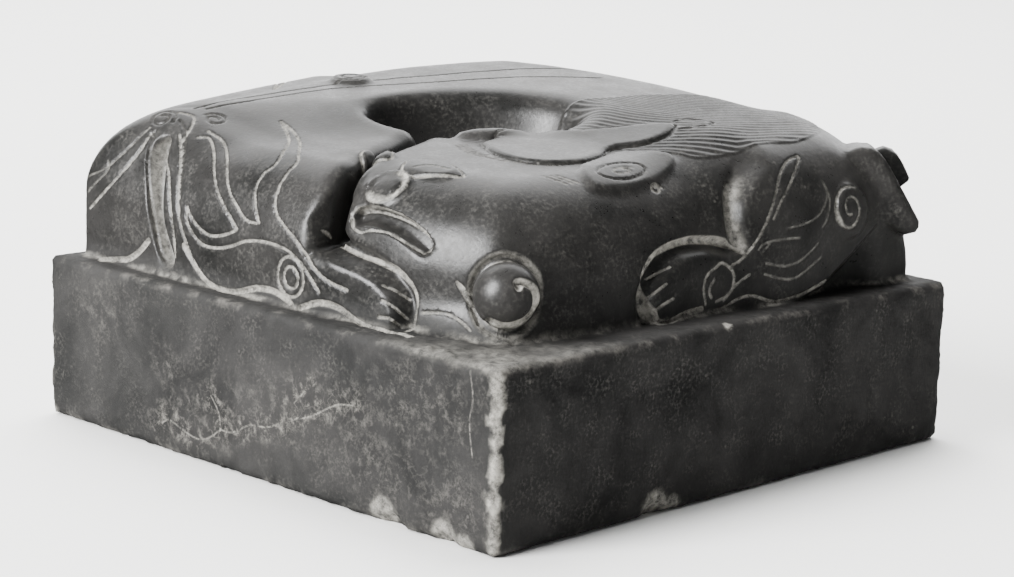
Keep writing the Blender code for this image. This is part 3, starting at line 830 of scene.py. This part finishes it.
def split_long_edges(mesh, shortest):
    """Halve every edge that is longer than its place wants, and even out the faces."""
    points = read_points(mesh)
    ends = np.empty(len(mesh.edges) * 2, int)
    mesh.edges.foreach_get("vertices", ends)
    a, b = ends.reshape(-1, 2).T
    length = np.linalg.norm(points[a] - points[b], axis=1)
    wanted = wanted_length(points)
    limit = np.minimum(np.minimum(wanted[a], wanted[b]), wanted_length((points[a] + points[b]) / 2))
    relief = raised(*points.T) - carved(*points.T) + legs(*points.T)
    steep = np.abs(relief[a] - relief[b]) > Detail.RELIEF_STEP
    limit = np.where(steep, np.minimum(limit, Detail.RELIEF), limit)
    too_long = length > Detail.TOLERANCE * np.maximum(limit, shortest)
    shape = bmesh.new()
    shape.from_mesh(mesh)
    long_edges = [edge for edge, split in zip(shape.edges, too_long) if split]
    bmesh.ops.subdivide_edges(shape, edges=long_edges, cuts=1)
    bmesh.ops.triangulate(shape, faces=shape.faces)
    flat = [edge for edge in shape.edges if edge.calc_face_angle(SHARP) < FLAT]
    bmesh.ops.beautify_fill(shape, faces=shape.faces, edges=flat, method="AREA")
    bmesh.ops.smooth_vert(shape, verts=shape.verts, factor=0.5, use_axis_x=True, use_axis_y=True,
                          use_axis_z=True)
    shape.to_mesh(mesh)
    shape.free()
    write_points(mesh, settle(read_points(mesh)))


# Corners nearer than this are one, in metres
SAME_CORNER = 1e-6


def copy_solid(node):
    """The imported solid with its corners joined, in drawn millimetres."""
    mesh = bpy.data.meshes.new("stone")
    shape = bmesh.new()
    shape.from_mesh(node.data)
    bmesh.ops.remove_doubles(shape, verts=shape.verts, dist=SAME_CORNER)
    bmesh.ops.scale(shape, verts=shape.verts, vec=Vector((1, 1, 1)) / MM)
    shape.to_mesh(mesh)
    shape.free()
    return mesh


def store(mesh, name, values):
    """Keep a value for each vertex, for the stone's finish to read."""
    attribute = mesh.attributes.new(name, "FLOAT", "POINT")
    attribute.data.foreach_set("value", np.ascontiguousarray(values, dtype=np.float32))


# Uneven patterns of the stone: size of their lumps in millimetres, and a seed
COARSE_GRIT = (1.6, 0.0)
FINE_GRIT = (0.7, 3.1)
EDGE_LUMPS = (3.2, 7.7)
SIDE_WAVES = (9.0, 1.3)
BODY_WAVES = (6.0, 5.9)
DUST_PATCHES = (4.5, 2.7)
CORNER_LUMPS = (1.8, 4.4)
HAZE_LUMPS = (2.6, 9.1)

# How high the block's waves are, and the rubble on its ledge, which grows toward the near corner
WAVE_HEIGHT = 0.05
RUBBLE = 0.10
RUBBLE_AT_CORNER = 0.22
RUBBLE_GROWS = (44, 58)
# How near the block's edges the wear starts and is whole, and how far up the stone is flat
WORN_WITHIN = (1.4, 0.2)
FLAT_BELOW = 0.3
# The beast's polish is whole this far above the block
POLISH_OVER = 4


def ledge(z):
    """Which points lie on the ledge round the beast."""
    return ease(DRAWN_BLOCK + 1.0, DRAWN_BLOCK + 0.1, z) * ease(DRAWN_BLOCK - 1, DRAWN_BLOCK - 0.2, z)


def worn_edge(points):
    """How near points lie to the block's edges, from 0 to 1."""
    below_beast = ease(DRAWN_BLOCK + 0.5, DRAWN_BLOCK, points[:, 2])
    return ease(*WORN_WITHIN, edge_closeness(points)) * below_beast


def fine_relief(points, line_depth, settings):
    """How far each point moves out: the mane, less the cuts, the rubble, the wear and the waves."""
    x, y, z = points.T
    inside, clear, lock = mane(points)
    furrow = 0.5 + 0.5 * np.cos(2 * np.pi * lock * MM / settings.mane_pitch)
    combed = ease(*COMBED_RIM, inside) * clear
    depth = line_depth + combed * settings.mane_depth / MM * furrow
    lift = settings.mane_step / MM * ease(*MANE_RIM, inside) * ease(-1, 1, clear)

    uneven = rough(points, *COARSE_GRIT) + 0.6 * rough(points, *FINE_GRIT)
    rubble = ledge(z) * (RUBBLE + RUBBLE_AT_CORNER * ease(*RUBBLE_GROWS, (x - y) / ROOT2))
    lumps = 0.55 + 0.6 * rough(points, *EDGE_LUMPS) + 0.35 * uneven
    worn = worn_edge(points) * settings.edge_wear / MM * lumps
    sides = (z < DRAWN_BLOCK - 0.6) & (z > FLAT_BELOW)
    waves = np.where(sides, WAVE_HEIGHT * rough(points, *SIDE_WAVES), 0)
    waves = waves + WAVE_HEIGHT * rough(points, *BODY_WAVES)
    return lift - depth + rubble * uneven - np.maximum(worn, 0) + waves * (z > FLAT_BELOW)


# How much dust lies in the seam round the beast, in the ball's socket and on its lip, on the
# ledge at the near corner and on bare stone, and where each starts and is whole
SEAM_EDGE = (0.55, 0.1)
SOCKET_DUST = 0.6
SOCKET_OUTER = (0.8, 0.5)
SOCKET_INNER = (0.1, 0.3)
LIP_DUST = 0.45
LIP_EDGE = (0.45, 0.15)
CORNER_DUST = 0.35
CORNER_DUST_GROWS = (50, 62)
BARE_DUST = 0.65
BARE_CORNER = 1.3
BARE_EDGE = (0.4, -0.2)
BARE_CORE = 0.6
NICK_CORE = 0.5


def spots(points, places, core):
    """Round spots that fade from their core, a share of the radius, to their rim."""
    out = np.zeros(len(points))
    for centre, radius in places:
        away = np.linalg.norm(points - np.array(centre), axis=1)
        out = np.maximum(out, ease(radius, core * radius, away))
    return out


def dry_dust(points, plain):
    """How much dust lies on each point, where plain is its place before the fine relief."""
    x, y, z = plain.T
    foot = np.where(z > DRAWN_BLOCK - 1, np.abs(beast(points)), FAR)
    patchy = 0.55 + 0.45 * np.clip(1.6 * rough(points, *DUST_PATCHES) + 0.3, -1, 1)
    seam = np.clip(patchy - 0.25, 0, 1) * ease(*SEAM_EDGE, foot)
    seam = seam * ease(DRAWN_BLOCK + 1.0, DRAWN_BLOCK + 0.2, z)
    ball = from_ball(points)
    lip = LIP_DUST * ease(*LIP_EDGE, np.abs(ball - SOCKET_RADIUS - 0.1))
    socket = SOCKET_DUST * ease(*SOCKET_OUTER, ball - BALL_RADIUS) * ease(*SOCKET_INNER, ball - BALL_RADIUS)
    corner = CORNER_DUST * patchy * ledge(z) * ease(*CORNER_DUST_GROWS, (x - y) / ROOT2)
    from_near_edge = np.hypot(x - DRAWN_SIDE / 2, y + DRAWN_SIDE / 2)
    ragged = NEAR_EDGE_BARE * (1 + 0.9 * rough(points, *CORNER_LUMPS))
    bare = BARE_CORNER * ease(*BARE_EDGE, from_near_edge - ragged) * ease(DRAWN_BLOCK + 1, DRAWN_BLOCK, z)
    bare = np.maximum(bare, spots(points, BARE, BARE_CORE))
    layers = [seam, lip, socket, corner, BARE_DUST * bare, spots(points, NICKS, NICK_CORE),
              broad_dust(x, y, z)]
    return np.max(layers, axis=0)


# How strong the bloom is in its patches and along the cracks that have it, where it fades out,
# and how deep behind the front it is noted. A patch's edge is in shares of its smaller radius
PATCH_BLOOM = 0.45
PATCH_EDGE = (0.45, -0.9)
CRACK_BLOOM = 1.2
CRACK_BLOOM_REACH = (3.6, 0.2)
CRACK_SEARCH = 6.0
HAZY_CRACKS = 3
BLOOM_REACH = 0.8


def block_bloom(points, plain):
    """How much pale bloom lies on the front of the block: in patches, and as haze along its cracks."""
    x, y, z = plain.T
    patches = np.zeros(len(points))
    for centre, radii in BLOOM:
        start, end = (share * min(radii) for share in PATCH_EDGE)
        patches = np.maximum(patches, ease(start, end, oval(x, z, centre, radii)))
    crack = FAR
    for _, path in CRACK_LINES[:HAZY_CRACKS]:
        crack = np.minimum(crack, line_distance(x, z, curve(path, LINE_STEPS), CRACK_SEARCH))
    haze = CRACK_BLOOM * ease(*CRACK_BLOOM_REACH, crack + 1.2 * rough(points, *HAZE_LUMPS))
    front = (y < BLOOM_REACH - DRAWN_SIDE / 2) & (z < DRAWN_BLOCK)
    return np.where(front, np.maximum(PATCH_BLOOM * patches, haze), 0)


def carve_stone(mesh, settings):
    """Press the fine carving and the wear into the settled mesh, and note what the finish reads."""
    plain = read_points(mesh)
    depth, nearest, line_dust = incised(plain)
    ball_depth, ball_distance = ball_cut(plain)
    depth = np.maximum(depth * settings.groove_depth / MM / FINE[1], ball_depth)
    points = plain + read_normals(mesh) * fine_relief(plain, depth, settings)[:, None]
    half = DRAWN_SIDE / 2
    points[:, :2] = np.clip(points[:, :2], -half, half)
    points[:, 2] = np.maximum(points[:, 2], 0)
    write_points(mesh, points)

    closeness = 0.5 - np.minimum(nearest, ball_distance - BALL_LINE_HALF_WIDTH) / (4 * FINE[0])
    store(mesh, "groove", np.clip(closeness, 0, 1))
    store(mesh, "groove_dust", np.where(ball_distance < BALL_LINE_REACH, BALL_LINE_DUST, line_dust))
    store(mesh, "dust", dry_dust(points, plain))
    store(mesh, "wear", worn_edge(plain))
    store(mesh, "polish", ease(DRAWN_BLOCK, DRAWN_BLOCK + POLISH_OVER, plain[:, 2]))
    store(mesh, "bloom", block_bloom(points, plain))


# Colours and materials
def linear(colour):
    """A colour given as sRGB hex, turned to linear."""
    parts = [int(colour[i:i + 2], 16) / 255 for i in (1, 3, 5)]
    return tuple(c / 12.92 if c <= 0.04045 else ((c + 0.055) / 1.055) ** 2.4 for c in parts)


def add(tree, kind, output, settings=None, links=None):
    """Add a node with its settings and links, and return one of its outputs.

    A setting is one of the node's own, or else the value of the input with that name or number.
    """
    node = tree.nodes.new(kind)
    for name, value in (settings or {}).items():
        if isinstance(name, str) and hasattr(node, name):
            setattr(node, name, value)
        else:
            node.inputs[name].default_value = value
    for name, socket in (links or {}).items():
        tree.links.new(socket, node.inputs[name])
    return node.outputs[output]


def per_mm(size):
    """The scale of a texture whose pattern has the size in millimetres."""
    return 1 / (size * MM)


# What the mesh notes for the finish: dust, the middle of each line and how dusty that line is,
# bloom on the block, its worn edges, and the beast's polish
MARKS = ("dust", "groove", "groove_dust", "bloom", "wear", "polish")

# Cloudy patterns in the stone and its dust: size in millimetres, detail, roughness, distortion.
# Grain of a tenth of a millimetre wouldn't show, so it is drawn at 0.55 mm and very low
CLOUDY = {
    "clouds": (14.0, 6.0, 0.62, 0.6),
    "stains": (4.0, 5.0, 0.65, 0.0),
    "grain": (0.55, 3.0, 0.6, 0.0),
    "blotches": (2.0, 10.0, 0.8, 0.25),
    "breaks": (1.4, 6.0, 0.75, 0.0),
}
# Flecks of pale mineral, about half a millimetre across and a few millimetres apart
FLECK_SPACING = 3.2
# The net of fine cracks in the bloom: size of its cells, and how far and over what it wanders
NET_CELL = 4.6
NET_WANDER = 2.6
NET_WANDER_SIZE = 2.4

# Bands of the patterns: which one, the values that a band runs over, and what it gives
BANDS = {
    "cloud": ("clouds", (0.36, 0.66), (0.0, 1.0)),
    "groove_middle": ("groove", (0.44, 0.62), (0.0, 1.0)),
    "fine_grain": ("grain", (0.46, 0.74), (0.0, 0.6)),
    "grain_stain": ("stains", (0.4, 0.7), (0.0, 1.0)),
    "speck": ("specks", (0.10, 0.05), (0.0, 1.0)),
    "speck_stain": ("stains", (0.50, 0.62), (0.0, 0.5)),
    "blotch": ("blotches", (0.50, 0.68), (0.0, 0.8)),
    "crack": ("cells", (0.02, 0.0), (0.0, 0.35)),
    "crack_stain": ("stains", (0.4, 0.6), (0.0, 1.0)),
    "wear_stain": ("stains", (0.50, 0.66), (0.0, 0.5)),
    "dust_break": ("breaks", (0.36, 0.60), (0.1, 1.0)),
    "gloss": ("polish", (0.0, 1.0), (0.78, 0.34)),
    "gloss_stain": ("stains", (0.3, 0.7), (-0.05, 0.08)),
    "gloss_grain": ("grain", (0.3, 0.7), (-0.06, 0.06)),
}
# What is made of two of them: by which operation, and the two. A number stands for itself
MIXTURES = {
    "line_dust": ("MULTIPLY", "groove_middle", "groove_dust"),
    "all_dust": ("MAXIMUM", "dust", "line_dust"),
    "grainy": ("MULTIPLY", "fine_grain", "grain_stain"),
    "flecked": ("MULTIPLY", "speck", "speck_stain"),
    "crazed": ("MULTIPLY", "crack", "crack_stain"),
    "bloom_break": ("MAXIMUM", "blotch", "crazed"),
    "bloomed": ("MULTIPLY", "bloom", "bloom_break"),
    "bared": ("MULTIPLY", "wear", "wear_stain"),
    "dusted": ("MULTIPLY", "all_dust", "dust_break"),
    "gloss_with_stain": ("ADD", "gloss", "gloss_stain"),
    "gloss_with_grain": ("ADD", "gloss_with_stain", "gloss_grain"),
    "dulled_by_dust": ("MULTIPLY", "dusted", 0.4),
    "gloss_with_dust": ("ADD", "gloss_with_grain", "dulled_by_dust"),
    "dulled_by_bloom": ("MULTIPLY", "bloom", 0.12),
    "gloss_in_all": ("ADD", "gloss_with_dust", "dulled_by_bloom"),
    "low_grain": ("MULTIPLY", "grain", 0.6),
    "height": ("ADD", "low_grain", "stains"),
}
# How high the grain stands, in millimetres, and how strongly it shows
BUMP_HEIGHT = 0.12
BUMP_STRENGTH = 0.35
STONE_IOR = 1.42

# A colour Mix node's own numbers for its sockets: how much, the first colour, the second, the result
MIX_FACTOR = 0
MIX_FIRST = 6
MIX_SECOND = 7
MIX_RESULT = 2


def make_stone(settings):
    """Dark steatite, carved with gravers, rubbed to a soft polish and darkened by handling.

    The eye gets a nearly black stone with faint clouds, a broad soft gloss on the rubbed
    parts, a duller sawn block with lime bloom on its front, bare stone at its rubbed and
    chipped edges, and pale dry dust wherever a tool went in, broken by the grain.
    """
    stone = bpy.data.materials.new("rubbed dark steatite")
    stone.use_nodes = True
    tree = stone.node_tree
    shader = tree.nodes["Principled BSDF"]
    place = add(tree, "ShaderNodeTexCoord", "Object")
    made = {name: add(tree, "ShaderNodeAttribute", "Fac", {"attribute_name": name}) for name in MARKS}
    for name, (size, detail, roughness, distortion) in CLOUDY.items():
        made[name] = add(tree, "ShaderNodeTexNoise", "Fac",
                         {"Scale": per_mm(size), "Detail": detail, "Roughness": roughness,
                          "Distortion": distortion}, {"Vector": place})
    made["specks"] = add(tree, "ShaderNodeTexVoronoi", "Distance",
                         {"Scale": per_mm(FLECK_SPACING), "Randomness": 1.0}, {"Vector": place})
    wander = add(tree, "ShaderNodeTexNoise", "Color", {"Scale": per_mm(NET_WANDER_SIZE), "Detail": 4.0},
                 {"Vector": place})
    bent = add(tree, "ShaderNodeVectorMath", "Vector",
               {"operation": "MULTIPLY_ADD", 1: (NET_WANDER * MM,) * 3}, {0: wander, 2: place})
    made["cells"] = add(tree, "ShaderNodeTexVoronoi", "Distance",
                        {"feature": "DISTANCE_TO_EDGE", "Scale": per_mm(NET_CELL)}, {"Vector": bent})
    for name, (source, (low, high), (least, most)) in BANDS.items():
        made[name] = add(tree, "ShaderNodeMapRange", "Result",
                         {"From Min": low, "From Max": high, "To Min": least, "To Max": most},
                         {"Value": made[source]})
    for name, (operation, *taken) in MIXTURES.items():
        numbers = {slot: take for slot, take in enumerate(taken) if not isinstance(take, str)}
        links = {slot: made[take] for slot, take in enumerate(taken) if isinstance(take, str)}
        made[name] = add(tree, "ShaderNodeMath", 0, {"operation": operation, **numbers}, links)

    colour = add(tree, "ShaderNodeMix", MIX_RESULT,
                 {"data_type": "RGBA", MIX_FIRST: (*settings.stone_dark, 1.0),
                  MIX_SECOND: (*settings.stone_light, 1.0)}, {MIX_FACTOR: made["cloud"]})
    # Each further colour lies over the ones before, as far as its mixture shows it
    for name, shade in (("grainy", settings.fleck), ("flecked", settings.fleck),
                        ("bloomed", settings.bloom), ("bared", settings.bare_stone),
                        ("dusted", settings.dust)):
        colour = add(tree, "ShaderNodeMix", MIX_RESULT, {"data_type": "RGBA", MIX_SECOND: (*shade, 1.0)},
                     {MIX_FACTOR: made[name], MIX_FIRST: colour})
    tree.links.new(colour, shader.inputs["Base Color"])
    tree.links.new(made["gloss_in_all"], shader.inputs["Roughness"])
    bump = add(tree, "ShaderNodeBump", "Normal", {"Strength": BUMP_STRENGTH, "Distance": BUMP_HEIGHT * MM},
               {"Height": made["height"]})
    tree.links.new(bump, shader.inputs["Normal"])
    shader.inputs["IOR"].default_value = STONE_IOR
    return stone


PAPER_ROUGHNESS = 0.9
PAPER_GLOSS = 0.1


def make_paper(settings):
    """Matt white paper sweep: even, pale, and without gloss."""
    paper = bpy.data.materials.new("matt paper sweep")
    paper.use_nodes = True
    shader = paper.node_tree.nodes["Principled BSDF"]
    shader.inputs["Base Color"].default_value = (*settings.paper, 1.0)
    shader.inputs["Roughness"].default_value = PAPER_ROUGHNESS
    shader.inputs["Specular IOR Level"].default_value = PAPER_GLOSS
    return paper


# The settings are in metres
MILLIMETRE = 0.001


class SealSettings(bpy.types.PropertyGroup):
    """Sizes and colours that a user would change"""
    groove_depth: bpy.props.FloatProperty(
        name="Groove depth", description="Depth of the incised lines", default=0.36 * MILLIMETRE,
        min=0.0, precision=5, unit="LENGTH")
    mane_pitch: bpy.props.FloatProperty(
        name="Mane pitch", description="Distance between furrows of the mane", default=1.1 * MILLIMETRE,
        min=0.5 * MILLIMETRE, precision=5, unit="LENGTH")
    mane_depth: bpy.props.FloatProperty(
        name="Mane depth", description="Depth of the mane's furrows", default=0.16 * MILLIMETRE,
        min=0.0, precision=5, unit="LENGTH")
    mane_step: bpy.props.FloatProperty(
        name="Mane step", description="How far the mane stands above the shoulder",
        default=0.22 * MILLIMETRE, min=0.0, precision=5, unit="LENGTH")
    edge_wear: bpy.props.FloatProperty(
        name="Edge wear", description="How far the block's edges are worn down",
        default=0.55 * MILLIMETRE, min=0.0, precision=5, unit="LENGTH")
    stone_dark: bpy.props.FloatVectorProperty(
        name="Dark stone", description="The stone where it is darkest", subtype="COLOR",
        default=linear("#151514"))
    stone_light: bpy.props.FloatVectorProperty(
        name="Light stone", description="The stone's paler clouds", subtype="COLOR",
        default=linear("#2a2928"))
    fleck: bpy.props.FloatVectorProperty(
        name="Flecks", description="Small pale flecks in the stone", subtype="COLOR",
        default=linear("#55534f"))
    bloom: bpy.props.FloatVectorProperty(
        name="Bloom", description="Pale bloom on the front of the block", subtype="COLOR",
        default=linear("#76736d"))
    bare_stone: bpy.props.FloatVectorProperty(
        name="Bare stone", description="Stone laid bare at worn edges", subtype="COLOR",
        default=linear("#6a6762"))
    dust: bpy.props.FloatVectorProperty(
        name="Dust", description="Dry dust in the carving", subtype="COLOR", default=linear("#a5a29a"))
    paper: bpy.props.FloatVectorProperty(
        name="Paper", description="The sweep that the seal stands on", subtype="COLOR",
        default=linear("#f6f6f4"))


class SEAL_OT_carve(bpy.types.Operator):
    """Carve and finish the seal's stone"""
    bl_idname = "seal.carve"
    bl_label = "Carve the stone"

    def execute(self, context):
        settings = context.scene.seal_settings
        mesh = copy_solid(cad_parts["seal"])
        for shortest in Detail.ROUNDS:
            split_long_edges(mesh, shortest)
        carve_stone(mesh, settings)
        mesh.transform(Matrix.Scale(MM, 4))
        mesh.shade_smooth()
        mesh.materials.append(make_stone(settings))
        stone = bpy.data.objects.new("carved_stone", mesh)
        context.scene.collection.objects.link(stone)
        if len(mesh.polygons) == 0:
            raise RuntimeError("the carved stone has no faces")
        print("carved_stone faces", len(mesh.polygons))
        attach(stone, "root")
        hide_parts("seal")
        return {"FINISHED"}


# The photograph's view, worked out from the block's corners in the picture: where the camera
# stands in metres, how it is turned in degrees, and its lens and sensor in millimetres
CAMERA_PLACE = Vector((0.26866, -0.27099, 0.09891))
CAMERA_AZIMUTH = 44.559
CAMERA_PITCH = 11.359
CAMERA_ROLL = 1.778
LENS = 87.78
SENSOR = 36.0
# Nothing nearer than this to the camera is drawn, in metres
NEAREST_SEEN = 0.01

# Lamps: name, place, width and height in metres, strength in watts, and whether the lamp
# shows in the stone's gloss. All look at the seal
LAMPS = [("key softbox", (-0.30, -1.25, 0.70), (0.6, 0.9), 78.0, True),
         ("top fill", (-0.45, 0.35, 1.25), (1.3, 1.3), 56.0, False),
         ("back card", (-1.10, 1.10, 0.90), (2.6, 1.8), 46.0, True)]
AIM = Vector((0, 0, 0.03))
SKY = "#c4c5c6"
SKY_STRENGTH = 0.25
FLOOR_HALF_WIDTH = 4.0


class SEAL_OT_stage(bpy.types.Operator):
    """Lay the floor, hang the lamps and place the camera"""
    bl_idname = "seal.stage"
    bl_label = "Set the stage"

    def execute(self, context):
        scene = context.scene
        self.lay_floor(scene)
        for name, place, size, watts, glossy in LAMPS:
            self.hang_lamp(scene, name, Vector(place), size, watts, glossy)
        self.light_sky(scene)
        self.place_camera(scene)
        return {"FINISHED"}

    def lay_floor(self, scene):
        shape = bmesh.new()
        bmesh.ops.create_grid(shape, x_segments=2, y_segments=2, size=FLOOR_HALF_WIDTH)
        mesh = bpy.data.meshes.new("floor")
        shape.to_mesh(mesh)
        shape.free()
        mesh.materials.append(make_paper(scene.seal_settings))
        floor = bpy.data.objects.new("floor", mesh)
        # As through a polarising filter, the pale paper doesn't show in the stone's gloss
        floor.visible_glossy = False
        scene.collection.objects.link(floor)

    def hang_lamp(self, scene, name, place, size, watts, glossy):
        light = bpy.data.lights.new(name, "AREA")
        light.shape = "RECTANGLE"
        light.size, light.size_y = size
        light.energy = watts
        lamp = bpy.data.objects.new(name, light)
        lamp.visible_glossy = glossy
        lamp.location = place
        lamp.rotation_euler = (AIM - place).to_track_quat("-Z", "Y").to_euler()
        scene.collection.objects.link(lamp)

    def light_sky(self, scene):
        world = bpy.data.worlds.new("studio air")
        world.use_nodes = True
        sky = world.node_tree.nodes["Background"]
        sky.inputs["Color"].default_value = (*linear(SKY), 1.0)
        sky.inputs["Strength"].default_value = SKY_STRENGTH
        scene.world = world

    def place_camera(self, scene):
        lens = bpy.data.cameras.new("photograph view")
        lens.sensor_width = SENSOR
        lens.lens = LENS
        lens.clip_start = NEAREST_SEEN
        camera = bpy.data.objects.new("photograph view", lens)
        turn = Matrix.Rotation(np.radians(CAMERA_AZIMUTH), 4, "Z")
        tilt = Matrix.Rotation(np.radians(90 - CAMERA_PITCH), 4, "X")
        roll = Matrix.Rotation(np.radians(CAMERA_ROLL), 4, "Z")
        camera.matrix_world = Matrix.Translation(CAMERA_PLACE) @ turn @ tilt @ roll
        scene.collection.objects.link(camera)
        scene.camera = camera


class SEAL_PT_panel(bpy.types.Panel):
    """Lists the seal's settings and steps"""
    bl_idname = "SEAL_PT_panel"
    bl_label = "Carved seal"
    bl_space_type = "VIEW_3D"
    bl_region_type = "UI"
    bl_category = "Seal"

    def draw(self, context):
        settings = context.scene.seal_settings
        for name in SealSettings.__annotations__:
            self.layout.prop(settings, name)
        self.layout.operator(SEAL_OT_carve.bl_idname)
        self.layout.operator(SEAL_OT_stage.bl_idname)


CLASSES = (SealSettings, SEAL_OT_carve, SEAL_OT_stage, SEAL_PT_panel)


def register():
    for kind in CLASSES:
        bpy.utils.register_class(kind)
    bpy.types.Scene.seal_settings = bpy.props.PointerProperty(type=SealSettings)


def unregister():
    del bpy.types.Scene.seal_settings
    for kind in reversed(CLASSES):
        bpy.utils.unregister_class(kind)


def main():
    register()
    bpy.ops.seal.carve()
    bpy.ops.seal.stage()


if __name__ == "__main__":
    main()
